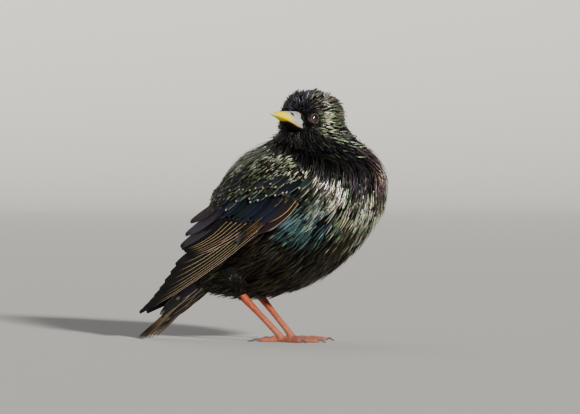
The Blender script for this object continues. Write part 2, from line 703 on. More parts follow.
def buildHeadCoat():
    look = headCoat
    k = np.arange(look["count"] * 2) + 0.5
    phi = np.arccos(1 - 2 * k / len(k))
    psi = (k * math.pi * (3 - math.sqrt(5)) + math.pi) % (2 * math.pi) - math.pi
    phi = phi + rng.normal(0, 0.012, len(k))
    psi = psi + rng.normal(0, 0.012, len(k)) / np.maximum(np.sin(phi), 0.1)
    degrees = np.degrees(phi)
    keep = (degrees > look["from"]) & (degrees < look["to"])
    keep &= fromTable(nearTable, phi, psi) > math.cos(math.radians(4))
    keep &= (turnFrom(psi) < 150) | (degrees < 75)
    keep &= rng.random(len(phi)) < np.interp(degrees, *look["thin"])
    phi, psi = phi[keep], psi[keep]
    near = np.zeros(len(phi), bool)
    for side in (-1, 1):  # small ones close round each eye
        centre, out, up, across = eyeFrame(side)
        wide = rng.uniform(*look["ringWide"], look["ring"])[:, None]
        turn = rng.uniform(0, 2 * math.pi, look["ring"])[:, None]
        spots = centre + out * 2.4 + (across * np.cos(turn) + up * np.sin(turn)) * wide
        phi, psi = (np.append(old, new) for old, new in zip((phi, psi), headAngles(spots)))
        near = np.append(near, np.ones(look["ring"], bool))
    degrees, count = np.degrees(phi), len(phi)
    length = np.where(near, look["ringLength"], np.interp(degrees, *look["length"]))
    length = length * rng.uniform(0.75, 1.15, count)
    run = runsOf(headSurface, phi, psi, 0.06, length, look["sway"])
    cloud = patchy(phi, psi, 1.3, 0.5)
    dull = rng.random(count) < look["dull"] + 0.3 * (0.5 - cloud)
    lifts = standing(look, np.interp(degrees, *look["lift"]), dull)
    half = np.where(dull, np.interp(degrees, *look["half"]), np.interp(degrees, *look["fine"]))
    half = np.where(near, look["ringHalf"], half) * rng.uniform(0.75, 1.25, count)
    roll = np.radians(rng.normal(0, look["roll"], count))
    placed = phi + rng.normal(0, 0.10, count), psi + rng.normal(0, 0.16, count)
    tint = varied(headTint(*placed), look["spread"], dull)
    bakeAt = (psi / (2 * math.pi)) % 1, phi / math.pi
    part = locks(
        headSurface, 1, phi, psi, run, lifts, half, roll,
        tint, np.zeros((count, 4)), bakeAt, (0.07, 0.07),
    )
    corners = np.concatenate((part["rings"].reshape(count, -1, 3), part["tips"][:, None]), 1)
    keep = np.ones(count, bool)
    for side in (-1, 1):  # none over an eye
        centre, out, _, _ = eyeFrame(side)
        away = corners - centre
        ahead = away @ out
        off = np.linalg.norm(away - ahead[..., None] * out, axis=-1)
        keep &= ~((ahead > 0) & (off < eyeOpening + look["eyeClear"])).any(1)
    forward, left, up = headParts(corners)  # none inside the bill
    wide, high, deep = billSizes(forward)
    inside = (left / wide) ** 2 + (up / np.where(up > 0, high, deep)) ** 2 < 0.95
    keep &= ~(inside & (forward > 9)).any(1)
    ahead, beside, low, high = look["gape"]  # nor at the corner of the mouth
    keep &= ~((forward > ahead) & (np.abs(left) < beside) & (up > low) & (up < high)).any(1)
    parts = [chosen(part, keep), chinCoat(), loreCoat()]
    addPiece("head_feathers", parts, plumageFinish, ("head",))


def billSizes(u):  # half width, culmen and depth at u
    return [np.interp(u, billStations[:, 0], billStations[:, j]) for j in (1, 2, 3)]


def mouthLine(u):  # how high the mouth line lies at u, and how much the gape widens the bill there
    sunk, wider = (1 - smooth(u, *billLook[key]) for key in ("mouthEnds", "flareEnds"))
    return billLook["mouth"] * sunk, billLook["flare"] * wider


def billSection(u, v):
    # Where the horn's outside lies across and up: v goes round it from straight down, and both
    # halves start at the sunken mouth line, with the cosine of v to the power of 0.8 for height.
    wide, high, deep = billSizes(u)
    mouth, flare = mouthLine(u)
    fall = np.cos(v)
    rise = np.where(fall > 0, deep + mouth, high - mouth) * np.abs(fall) ** 0.8
    flare = flare * np.exp(-((rise / billLook["corner"]) ** 2))
    return (wide + flare) * np.sin(v), mouth - np.sign(fall) * rise


def billRound(u, v):  # the bill's outside and 0.1 out: u forward, v round it from straight down
    across, up = billSection(u, v)
    return headPlace(u, across + 0.1 * np.sin(v), up - 0.1 * np.cos(v))


def billFeathers(u, v, run, lifts, half, colour):
    count = len(u)
    tint = varied(np.tile(np.array(colour), (count, 1)), 0.4)
    return locks(
        billRound, 1, u, v, (run, rng.normal(0, 0.12, count)), lifts, half,
        np.radians(rng.normal(0, 15, count)), tint, np.zeros((count, 4)), (v / 7 + 0.5, u / 40),
        (0.1, 0.02),
    )


def chinCoat():  # short black feathers that run forward between the two sides of the lower bill
    look = headCoat
    u = rng.uniform(*look["chinReach"], look["chin"])
    far, near = (np.interp(u, look["chinReach"], look[key]) for key in ("chinFar", "chinNear"))
    far, near = np.radians(far), np.radians(near)
    v = far + (near - far) * rng.random(len(u))
    lifts = np.array((-0.5, 0.25, 0.5, 0.65, 0.7)) * rng.uniform(0.5, 1.2, (len(u), 1))
    run = -rng.uniform(3.0, 4.6, len(u))
    return billFeathers(u, v, run, lifts, rng.uniform(0.2, 0.4, len(u)), sheens["black"])


def loreCoat():  # fine black feathers that end the bill in a notched line
    look = headCoat
    v = np.radians(rng.uniform(50, 180, look["lore"])) * rng.choice((-1, 1), look["lore"])
    u = np.interp(billSection(look["loreAt"], v)[1], *look["loreLine"]) - rng.uniform(0.0, 2.4, len(v))
    lifts = np.array((-0.3, 0.45, 0.75, 0.90, 0.95)) * rng.uniform(0.7, 1.25, (len(v), 1))
    run = -rng.uniform(1.8, 3.0, len(v))
    return billFeathers(u, v, run, lifts, rng.uniform(0.16, 0.28, len(v)), sheens["black"])


# Skin, eyes and bill.

skinLook = {"rows": 170, "spokes": 112}
legs = {  # side: ball of the foot, heel from it, knee from it
    -1: ((2.0, -13.0, 3.1), (-21.8, -0.5, 21.6), (-26.0, 0.0, 37.0)),
    1: ((-1.5, 12.5, 3.1), (-19.0, 1.5, 21.6), (-25.0, 1.0, 37.0)),
}


def tube(points, radii, rows, cols, reference=(0.0, 1.0, 0.0)):
    # Rings of cols points carried along a smooth line, their radius on a smooth line too.
    share = np.linspace(0, len(points) - 1, rows)
    centre, radius = spline(points, share), spline(radii, share)
    ahead = unit(np.gradient(centre, axis=0))
    side = unit(np.cross(ahead, np.array(reference)))
    up = np.cross(ahead, side)
    turn = 2 * math.pi * np.arange(cols) / cols
    ring = np.cos(turn)[None, :, None] * side[:, None] + np.sin(turn)[None, :, None] * up[:, None]
    return centre, radius, ring


def wrapMap(rows, cols):  # once round and once along, with its own seam
    across, along = np.meshgrid(np.arange(cols + 1) / cols, np.linspace(0, 1, rows + 1))
    return gridMap(across, along)[None]


def thighLine(side):  # the middle of a thigh from the knee to just above the heel, and its ends
    foot, heelBy, kneeBy = (np.array(v) for v in legs[side])
    heel, knee = foot + heelBy, foot + kneeBy
    return np.array([knee, (knee + heel) / 2, heel + (knee - heel) * 0.08]), heel, knee


def buildSkin():
    rows, spokes = skinLook["rows"], skinLook["spokes"]
    share = np.linspace(0, lastShare, rows)[:, None]
    angle = (2 * math.pi * np.arange(spokes) / spokes)[None]
    point, normal, _, _ = withNormals(bodySurface, share, angle, 0.01, 0.02, 1)
    inner = point - normal * coatDepth
    phi, psi = headAngles(point)
    onHead = smooth(share + 0 * angle, 9.6, 10.6)[..., None]
    tint = bodyTint(share + 0 * angle, angle + 0 * share) * (1 - onHead) + headTint(phi, psi) * onHead
    flat = wrapMap(rows, spokes) * (1.0, 16 / 17) + (0, 1 / 17)
    trunk = {
        "rings": inner[None],
        "tips": headPlace(crownTop[0], crownTop[1], crownTop[2] - coatDepth)[None],
        "uvs": {"OFBake": flat},
        "paints": {"tint": tint[None]},
    }
    parts = [trunk]
    for side in legs:
        line, heel, knee = thighLine(side)
        centre, radius, ring = tube(line, (7.4, 5.6, 2.6), 16, 24)
        parts.append({
            "rings": (centre[:, None] + ring * radius[:, None])[None],
            "tips": (centre[-1] - (knee - heel) / 20)[None],
            "uvs": {"OFBake": wrapMap(16, 24) * 0.04 + (0.5 + side * 0.2, 0.0)},
            "paints": {"tint": np.array((sheens["belly"],))},
        })
    addPiece("skin", parts, skinFinish(), ("torso", "rump", "thigh_left", "thigh_right"))


eyeLook = {
    "pupil": 0.115, "iris": 0.235,  # as parts of a half turn from the front of the eye
    "irisColour": (0.018, 0.006, 0.004), "rimColour": (0.034, 0.010, 0.007),
    "pupilColour": (0.003, 0.003, 0.003), "edgeColour": (0.02, 0.015, 0.012),
    "lidColour": (0.150, 0.118, 0.100), "foldColour": (0.05, 0.04, 0.035), "lidThickness": 0.17,
}


def eyeFinish():
    finish = Finish("eye", IOR=1.4, Coat_Weight=1.0, Coat_Roughness=0.03)
    around, back = finish.pair("eye")
    rays = finish.streaks(around * 4.0, back * 0.3, 60.0, 2.0)
    iris = finish.mix(back.step(0.15, eyeLook["iris"]), eyeLook["irisColour"], eyeLook["rimColour"])
    iris = finish.tinted(iris, 0.6 + rays * 0.8)
    seen = back.step(eyeLook["pupil"], eyeLook["pupil"] + 0.012)
    colour = finish.mix(seen, eyeLook["pupilColour"], iris)
    past = back.step(eyeLook["iris"], eyeLook["iris"] + 0.02)
    colour = finish.mix(past, colour, eyeLook["edgeColour"])
    finish.wear(Base_Color=colour, Roughness=0.12 + rays * 0.15)
    return finish


def lidFinish():
    finish = Finish("eyelid skin", Specular_IOR_Level=0.4)
    folds = finish.noise(2600.0, 3.0)
    colour = finish.mix(folds, eyeLook["foldColour"], eyeLook["lidColour"])
    finish.wear(Base_Color=colour, Roughness=0.45 + folds * 0.2)
    finish.bumped(folds, 0.6, 0.0001)
    return finish


def buildEyes():
    rows, cols = 40, 48
    finish, lids = eyeFinish(), lidFinish()
    theta = np.linspace(math.pi - 0.1, 0.03, rows)[:, None, None]
    turn = (2 * math.pi * np.arange(cols) / cols)[None, :, None]
    flat = gridMap(*np.meshgrid(np.arange(cols + 1) / cols, np.append(theta.ravel(), 0) / math.pi))
    lidParts = []
    for side, word in ((-1, "right"), (1, "left")):
        centre, out, up, across = eyeFrame(side)
        first, second = (up, across) if np.cross(up, across) @ out > 0 else (across, up)
        ball = out * np.cos(theta) + (first * np.cos(turn) + second * np.sin(turn)) * np.sin(theta)
        part = {
            "rings": (centre + ball * eyeRadius)[None],
            "tips": (centre + out * eyeRadius)[None],
            "uvs": {"eye": flat[None], "OFBake": flat[None]},
        }
        addPiece(f"eyeball_{word}", [part], finish, (f"eye_{word}",))
        for lid in (0, 1):  # two crescents round the opening, thin at the corners
            t = np.linspace(0, 1, 28)
            bend = math.pi * (t * 1.06 - 0.03 + lid)
            sweep = across * side * np.cos(bend)[:, None] + up * (np.sin(bend) * 0.97)[:, None]
            ahead = math.sqrt(eyeRadius**2 - eyeOpening**2) + 0.12
            line = centre + sweep * eyeOpening + out * ahead
            swell = eyeLook["lidThickness"] * (0.35 + 0.65 * np.sin(math.pi * t) ** 0.5)
            middle, radius, ring = tube(line, swell, 28, 10, out)
            lidParts.append({
                "rings": (middle[:, None] + ring * radius[:, None])[None],
                "tips": line[-1][None] + (line[-1] - line[-2])[None] * 0.3,
                "uvs": {"OFBake": wrapMap(28, 10) * 0.2 + (0.25 * lid + 0.5 * (side > 0), 0)},
            })
    addPiece("eyelids", lidParts, lids)


billLook = {
    "yellow": (1.00, 0.82, 0.000), "orange": (0.80, 0.30, 0.006), "pale": (0.42, 0.44, 0.43),
    "tip": (0.76, 0.62, 0.50), "grey": (0.30, 0.34, 0.36), "pink": (0.55, 0.33, 0.28),
    "hollow": (0.012, 0.009, 0.008), "brown": (0.22, 0.10, 0.03),
    "rows": 66, "arc": 29, "under": 5, "gap": 0.05, "end": (39.15, 0.25),  # forward, off the mouth
    "mouth": -3.2, "mouthEnds": (10, 32), "flare": 0.7, "flareEnds": (11.5, 18.5), "corner": 1.3,
    "nostril": (19.6, 2.9), "nostrilSize": (1.25, 0.95), "nostrilDepth": 1.1,
    "mark": (35.0, 0.9), "markSize": (0.6, 0.3),  # a small brown fleck near the tip
}


def billFinish(upper):
    finish = Finish("bill", IOR=1.5, Specular_IOR_Level=0.2, Coat_Weight=0.06, Coat_Roughness=0.2)
    height, along = finish.pair("bill")  # height 0 at the cutting edge, 1 on the ridge
    grain = finish.noise(380.0, 3.0)
    wave = grain * 0.16 - 0.08
    if upper:
        toYellow = (along + wave + (1 - height) * 0.10).step(0.42, 0.62)
    else:
        toYellow = (along * 1.6 + wave + height * 0.75).step(0.55, 0.85)
    colour = finish.mix(toYellow, billLook["pale"], billLook["yellow"])
    if not upper:
        keel = height.step(0.45, 0.8) * (1 - along.step(0.45, 0.7))
        colour = finish.mix(keel * 0.7, colour, billLook["orange"])
    colour = finish.mix((1 - height.step(0.0, 0.12)) * 0.35, colour, billLook["orange"])
    toTip = (along + wave * 0.5 - height * 0.06).step(0.80, 0.96)
    colour = finish.mix(toTip * 0.85, colour, billLook["tip"])
    grey = (1 - along.step(0.34, 0.50)) * height.step(0.45, 0.9) * grain.step(0.35, 0.6)
    colour = finish.mix(grey * 0.6, colour, billLook["grey"])
    pink = (1 - along.step(0.16, 0.30)) * height.step(0.5, 0.9) * 0.7
    colour = finish.mix(pink, colour, billLook["pink"])
    colour = finish.mix(finish.attribute("hollow", 3), colour, billLook["hollow"])
    colour = finish.mix(finish.attribute("hollow", 2), colour, billLook["brown"])
    finish.wear(Base_Color=colour, Roughness=0.30 + grain * 0.16)
    finish.bumped(grain, 0.25, 0.0002)
    return finish


def spot(forward, up, at, size):  # a soft round spot, 1 at its middle
    return np.exp(-(((forward - at[0]) / size[0]) ** 2) - ((up - at[1]) / size[1]) ** 2)


def buildBill():
    # Each half is a half round section along the bill; the mouth line sinks towards the gape,
    # where both halves widen into the corner of the mouth.
    rows, arc, under = billLook["rows"], billLook["arc"], billLook["under"]
    share = np.linspace(0, len(billStations) - 1, rows)
    station = spline(billStations, share)
    ahead, wide = station[:, 0:1], station[:, 1:2]
    tall = (ahead[:, 0] - ahead[0, 0]) / (ahead[-1, 0] - ahead[0, 0])
    mouth, flare = mouthLine(ahead)
    turn = np.linspace(0, math.pi, arc)[None]
    for upper, sign, word in ((True, 1, "upper"), (False, -1, "lower")):
        height = station[:, 2:3] - mouth if upper else station[:, 3:4] + mouth
        rise = height * np.sin(turn) ** (0.85 if upper else 0.8)
        across = wide * np.cos(turn)
        across = across + np.sign(across) * flare * np.exp(-((rise / billLook["corner"]) ** 2))
        edge = np.abs(across[:, :1])
        across = np.concatenate((across, edge * np.linspace(-1, 1, under + 2)[1:-1]), 1)
        rise = np.concatenate((rise, np.zeros((rows, under))), 1)
        forward = np.broadcast_to(ahead, across.shape)
        up = mouth + sign * (billLook["gap"] + rise)
        hollow, mark = np.zeros(across.shape), np.zeros(across.shape)
        if upper:
            hollow = spot(forward, up, billLook["nostril"], billLook["nostrilSize"])
            across = across - np.sign(across) * hollow * billLook["nostrilDepth"]
            mark = spot(forward, up, billLook["mark"], billLook["markSize"])
        level = np.concatenate((np.sin(turn), np.zeros((1, under))), 1)
        columns = arc + under
        flat = gridMap(
            np.broadcast_to(level, (rows + 1, columns)),
            np.broadcast_to(np.append(tall, 1)[:, None], (rows + 1, columns)),
        )
        turnMap = np.broadcast_to(np.linspace(0, 1, columns), (rows + 1, columns))
        part = {
            "rings": headPlace(forward, across, up)[None],
            "tips": headPlace(billLook["end"][0], 0, sign * billLook["end"][1])[None],
            "uvs": {"bill": flat[None], "OFBake": gridMap(turnMap, flat[..., 1])[None]},
            "paints": {"hollow": np.stack((mark, mark, mark, smooth(hollow, 0.2, 0.5)), -1)[None]},
        }
        addPiece(f"bill_{word}_horn", [part], billFinish(upper), (f"bill_{word}",))


# Wings.

wingBend, wingTip = np.array((22.4, 77.7)), np.array((-85.5, 11.7))
wingLook = {"rootY": 31.0, "tipY": 4.2, "wrap": 37.0, "blend": 3.0, "thickness": 0.34, "clear": 0.3}


def wingPlace(p, q, lift, side):
    # p runs from the bend to the tip and q across. The wing lies on the body or on a curve of
    # its own that narrows to the tail, whichever is further out, and lift raises it from there.
    along = wingTip - wingBend
    length = np.linalg.norm(along)
    along = along / length
    x = wingBend[0] + along[0] * p + along[1] * q
    z = wingBend[1] + along[1] * p - along[0] * q
    run = np.clip(p / length, 0, 1)
    straight = wingLook["tipY"] + (wingLook["rootY"] - wingLook["tipY"]) * (1 - run**1.7) ** 1.3
    straight = straight * np.maximum(0.16, 1 - (np.maximum(q, 0) / wingLook["wrap"]) ** 2)
    body = bodyReach(x, z) + wingLook["clear"]
    gap = np.maximum(wingLook["blend"] - np.abs(body - straight), 0) / wingLook["blend"]
    out = np.maximum(body, straight) + gap**2 * wingLook["blend"] / 4 + lift
    return np.stack((x, side * out, z), -1)


vaneGrid = {"rows": 20, "half": 5}  # rings along a vane and points on each side of its shaft
atlasWide = 8  # how many vanes lie side by side on the baking map


def sheetGrid():  # along a sheet, across both its faces, and which of those points are underneath
    rows, half = vaneGrid["rows"], vaneGrid["half"]
    over, back = np.linspace(-1, 1, 2 * half + 1), np.linspace(1, -1, 2 * half + 1)[1:-1]
    cross = np.concatenate((over, back))
    return np.linspace(0, 1, rows + 1)[:-1] ** 0.9, cross, np.arange(len(cross)) > 2 * half


def vaneShape(t, blunt):  # the half width of a vane along it, 1 at its widest
    wide = np.minimum(1.0, 0.62 + 1.3 * t) * np.maximum(blunt * (1 - t**16), 1 - t**4) ** 0.5
    return wide * (1 - 0.55 * t**6)


def wingVanes(side, root, tip, webs, lifts, blunt, bend, tilt):
    # Each vane is a sheet along a bowed line from root to tip in p and q; both faces are the
    # same sheet at two lifts, joined along the edges, and the shaft stands a little proud.
    t, cross, under = sheetGrid()
    away = tip - root
    normal = unit(np.stack((-away[:, 1], away[:, 0]), -1))
    bow = np.sin(math.pi * t)[None, :, None] * -bend * normal[:, None]
    line = root[:, None] + away[:, None] * t[None, :, None] + bow
    wide = np.where(cross < 0, *webs) * vaneShape(t, blunt)[None, :, None]
    offset = wide * cross
    where = line[:, :, None] + normal[:, None, None] * offset[..., None]
    lift = lifts[:, :1] + (lifts[:, 1:] - lifts[:, :1]) * t
    camber = 0.10 * (1 - cross**2) + 0.10 * np.exp(-((cross / 0.1) ** 2)) - tilt * cross
    height = lift[:, :, None] + camber - np.where(under, wingLook["thickness"], 0)
    rings = wingPlace(where[..., 0], where[..., 1], height, side)
    end = line[:, -1] + away * 0.006
    tips = wingPlace(end[:, 0], end[:, 1], lifts[:, 1] + 0.2, side)
    return rings, tips, cross, np.append(t, 1.0)


def vanePart(rings, tips, cross, t, tint, edge, tip, first, both=False):
    # The vane map has the shaft at a half; on vanes with two pale edges both map to 0.
    count = len(rings)
    column = np.where(both, 1 - np.abs(cross), 1 + cross) / 2
    flat = gridMap(*np.meshgrid(column, t))
    spread = gridMap(*np.meshgrid((cross + 1) / 2 * 0.9 + 0.05, t * 0.9 + 0.05))
    k = first + np.arange(count)
    corner = np.stack((k % atlasWide, k // atlasWide), -1) / atlasWide
    bake = corner[:, None, None] + spread[None] / atlasWide
    return {
        "rings": rings,
        "top": 2 * vaneGrid["half"],
        "tips": tips,
        "uvs": {"vane": np.broadcast_to(flat, (count,) + flat.shape), "OFBake": bake},
        "paints": {"tint": tint, "edge": edge, "tip": tip},
    }


def between(first, last, count):
    share = np.linspace(0, 1, count)[:, None]
    return np.array(first) + (np.array(last) - np.array(first)) * share


def primaryLines(count):
    share = np.linspace(0, 1, count)
    tip = np.stack((126.5 - 38 * share**1.15, 0.4 + 3 * share + 7 * share**2), -1)
    return np.stack((30 + 12 * share, -1.0 + 7.5 * share), -1), tip


wingTiers = (  # first and last feather of each tier, from the longest up to the shoulder
    {"kind": "primary", "count": 8, "webs": (1.9, 5.0), "lifts": ((0.9, 0.9), (2.9, 2.9)),
     "blunt": 0.34, "bend": 1.2, "tilt": 0.22, "loose": (0.3, 0.1), "tint": (0.008, 0.007, 0.008, 0.15),
     "edge": (0.90, 0.78, 0.56, 1.0), "tip": (0.008, 0.007, 0.007, 0.6)},
    {"kind": "secondary", "count": 7, "from": ((30, 3.4), (45, 14.0)), "to": ((79, 9.5), (80, 15.5)),
     "webs": (2.3, 4.2), "lifts": ((2.4, 3.1), (3.4, 4.1)), "blunt": 0.5, "bend": 1.0, "tilt": 0.25,
     "loose": (0.6, 0.15), "tint": (0.009, 0.008, 0.009, 0.15),
     "edge": (0.86, 0.70, 0.46, 1.0), "tip": (0.008, 0.007, 0.007, 0.8)},
    {"kind": "tertial", "count": 3, "from": ((46, 17.5), (44, 24.5)), "to": ((79.5, 17.0), (69.5, 25.5)),
     "webs": (2.8, 3.4), "lifts": ((2.8, 4.2), (3.4, 4.8)), "blunt": 0.6, "bend": 0.6, "tilt": 0.50,
     "loose": (0.6, 0.2), "tint": (0.052, 0.047, 0.047, 0.10),
     "edge": (0.030, 0.034, 0.046, 0.6), "tip": (0.005, 0.005, 0.006, 1.0)},
    {"kind": "primary_covert", "count": 5, "from": ((6, 2.6), (9, 6.0)), "to": ((50, -0.6), (44, 2.6)),
     "webs": (1.1, 2.2), "lifts": ((1.9, 2.9), (2.2, 3.2)), "blunt": 0.6, "bend": 0.4, "tilt": 0.30,
     "loose": (0.8, 0.2), "tint": (0.014, 0.012, 0.013, 0.25),
     "edge": (0.78, 0.45, 0.18, 1.0), "tip": (0.34, 0.36, 0.36, 0.25)},
    {"kind": "alula", "count": 2, "from": ((4, 2.4), (4, 0.4)), "to": ((27, 0.6), (33, -3.0)),
     "webs": (2.6, 2.6), "lifts": ((2.2, 3.4), (2.0, 3.4)), "blunt": 0.5, "bend": 0.9, "tilt": 0.25,
     "loose": (0.4, 0.1), "tint": (0.020, 0.016, 0.014, 0.20),
     "edge": (0.84, 0.58, 0.30, 1.0), "tip": (0.03, 0.02, 0.015, 0.3)},
    {"kind": "greater_covert", "count": 9, "from": ((9, 4.6), (32, 22.0)), "to": ((29, 1.2), (51, 18.5)),
     "webs": (1.7, 2.3), "lifts": ((2.3, 3.9), (2.5, 4.1)), "blunt": 0.5, "bend": 0.5, "tilt": 0.50,
     "loose": (1.0, 0.3), "tint": (0.022, 0.029, 0.046, 0.55),
     "edge": (0.040, 0.046, 0.055, 0.6), "tip": (0.16, 0.13, 0.10, 0.30)},
    {"kind": "median_covert", "count": 10, "from": ((-9, 6.6), (30, 21.0)), "to": ((1, 5.0), (40, 19.2)),
     "webs": (1.7, 1.9), "lifts": ((2.4, 4.4), (2.7, 4.7)), "blunt": 0.85, "bend": 0.2, "tilt": 0.45,
     "loose": (1.3, 0.7), "tint": (0.040, 0.055, 0.064, 0.8),
     "edge": (0.62, 0.72, 0.64, 0.6), "tip": (*cream, 1.0)},
    {"kind": "lesser_covert", "count": 8, "from": ((0, 14.0), (28, 27.0)), "to": ((9, 12.4), (37, 25.2)),
     "webs": (1.6, 1.8), "lifts": ((2.6, 4.7), (2.9, 5.0)), "blunt": 0.85, "bend": 0.2, "tilt": 0.45,
     "loose": (1.5, 0.9), "tint": (0.045, 0.052, 0.050, 0.8),
     "edge": (0.40, 0.46, 0.38, 0.5), "tip": (*cream, 0.9)},
    {"kind": "scapular_low", "count": 8, "from": ((33, 31.0), (46, 24.0)), "to": ((47, 30), (61, 22.5)),
     "webs": (1.5, 1.9), "lifts": ((1.9, 4.3), (1.9, 4.4)), "blunt": 0.4, "bend": 0.3, "tilt": 0.40,
     "loose": (1.2, 0.4), "tint": (0.024, 0.028, 0.042, 0.6),
     "edge": (0.13, 0.14, 0.18, 0.5), "tip": (*buff, 0.3)},
    {"kind": "scapular_high", "count": 9, "from": ((21, 31.0), (37, 24.0)), "to": ((34, 30), (51, 23.0)),
     "webs": (1.5, 1.9), "lifts": ((2.2, 4.6), (2.2, 4.8)), "blunt": 0.4, "bend": 0.3, "tilt": 0.40,
     "loose": (1.2, 0.4), "tint": (0.034, 0.040, 0.048, 0.7),
     "edge": (0.20, 0.22, 0.20, 0.5), "tip": (*buff, 0.6)},
)


def buildWing(side, word):
    parts, first = [], 0
    for tier in wingTiers:
        count = tier["count"]
        if tier["kind"] == "primary":
            root, tip = primaryLines(count)
        else:
            root, tip = between(*tier["from"], count), between(*tier["to"], count)
        loose = rng.normal(0, 1, tip.shape) * tier["loose"]
        root, tip = root + loose * 0.4, tip + loose
        lifts = between(*tier["lifts"], count)
        form = (tier[key] for key in ("blunt", "bend", "tilt"))
        shape = wingVanes(side, root, tip, tier["webs"], lifts, *form)
        tint = varied(np.tile(tier["tint"], (count, 1)), 0.30)
        edge, end = (np.tile(tier[key], (count, 1)).astype(float) for key in ("edge", "tip"))
        edge[:, :3] *= rng.uniform(0.7, 1.15, (count, 1)) * rng.uniform((1, 0.8, 0.6), 1.0, (count, 3))
        parts.append(vanePart(*shape, tint, edge, end, first))
        first += count
    addPiece(f"wing_{word}_feathers", parts, flightFinish, (f"wing_{word}",))


lesserCoverts = {
    "count": 4600, "p": (-6, 46), "q": (1, 33), "length": 6.2, "half": 0.74,
    "centre": (30, 14), "size": (40, 20), "rise": 2.8,
}


def buildLesserCoverts(side, word):
    # Small scales over the shoulder, laid along the wing and thickest over its middle.
    look = lesserCoverts
    p, q = evenPairs(look["count"], look["p"], look["q"])
    free = q - 8.0 - 0.42 * p  # above the rows of spotted coverts
    inside = sum(((w - at) / size) ** 2 for w, at, size in zip((p, q), look["centre"], look["size"]))
    keep = (inside < 1) & (free > 0.4 + rng.normal(0, 0.5, len(p)))
    p, q, inside = p[keep], q[keep], inside[keep]
    count = len(p)
    high = look["rise"] * (0.25 + 0.75 * np.cos(math.pi / 2 * np.sqrt(inside))) + 0.6

    def surface(u, v):
        return wingPlace(u, v, 0.0, side)

    length = look["length"] * rng.uniform(0.8, 1.2, count) * (0.7 + 0.3 * smooth(p, 0, 25))
    heading = np.radians(rng.normal(-8, 8, count))
    lifts = high[:, None] + np.array((-0.9, 0.1, 0.5, 0.7, 0.8)) * rng.uniform(0.6, 1.2, (count, 1))
    half = look["half"] * rng.uniform(0.8, 1.15, count)
    roll = np.radians(rng.normal(0, 20, count))
    colour = layered("mantle", p.shape, (("breast", smooth(14 - p, 0, 14) * 0.5),))
    dull = rng.random(count) < 0.78
    tint = varied(colour, 0.6, dull)
    lifts = lifts - 0.35 * dull[:, None]
    half = np.where(dull, half, half * 0.40)
    tipped = (rng.random(count) < 0.16) * ~dull * 0.9
    part = locks(
        surface, -side, p, q, (length * np.cos(heading), length * np.sin(heading)), lifts, half, roll,
        tint, tipPaint(cream, tipped), ((p + 10) / 60, (q + 2) / 40), (0.5, 0.5),
    )
    addPiece(f"shoulder_{word}_scales", [part], plumageFinish)


# Tail.

tailBase, tailTip = np.array((-38.6, 0.0, 39.3)), np.array((-85.3, 0.0, 0.75))
tailLook = {
    "count": 12, "spreads": (3.0, 8.2), "widths": (2.4, 4.3), "drop": 4.6, "thickness": 0.34,
    "top": (0.018, 0.015, 0.014, 0.3), "bottom": (0.070, 0.042, 0.025, 0.1),
    "edge": (0.50, 0.34, 0.20, 0.9), "end": (0.36, 0.24, 0.14, 0.25), "covert": (0.010, 0.010, 0.011, 0.4),
    "rimBelow": (0.42, 0.33, 0.22, 0.85), "rimAbove": (0.16, 0.12, 0.08, 0.85),
    "coverts": (  # below or above, count, start, end, half width, distance below, beside, degrees
        (-1, 9, 0.0, 19.0, 3.4, 6.0, 8.2, 100), (-1, 8, 7.0, 29.0, 3.4, 5.4, 9.4, 92),
        (-1, 6, 16.0, 40.0, 3.3, 4.6, 10.4, 80),
        (1, 6, 3.0, 19.0, 2.8, 4.6, 6.0, 72), (1, 5, 8.0, 27.0, 2.8, 4.0, 6.4, 55),
    ),
}


def tailSheets(line, normal, outward, halfWide, thickness, blunt):
    # Sheets along straight lines: outward runs across each, normal out of its upper face.
    t, cross, under = sheetGrid()
    start, end = line
    centre = start[:, None] + (end - start)[:, None] * t[None, :, None]
    wide = (halfWide[0] + (halfWide[1] - halfWide[0]) * t) * vaneShape(t, blunt)
    camber = 0.35 * (1 - cross**2) + 0.14 * np.exp(-((cross / 0.1) ** 2))
    camber = camber - np.where(under, thickness, 0)
    rings = (
        centre[:, :, None]
        + outward[:, None, None] * (wide[:, None] * cross)[..., None]
        + normal[:, None, None] * camber[:, None]
    )
    rings[..., 2] = np.maximum(rings[..., 2], 0.02)
    tips = end + (end - start) * 0.004
    tips[:, 2] = np.maximum(tips[:, 2], 0.02)
    return rings, tips, cross, np.append(t, 1.0)


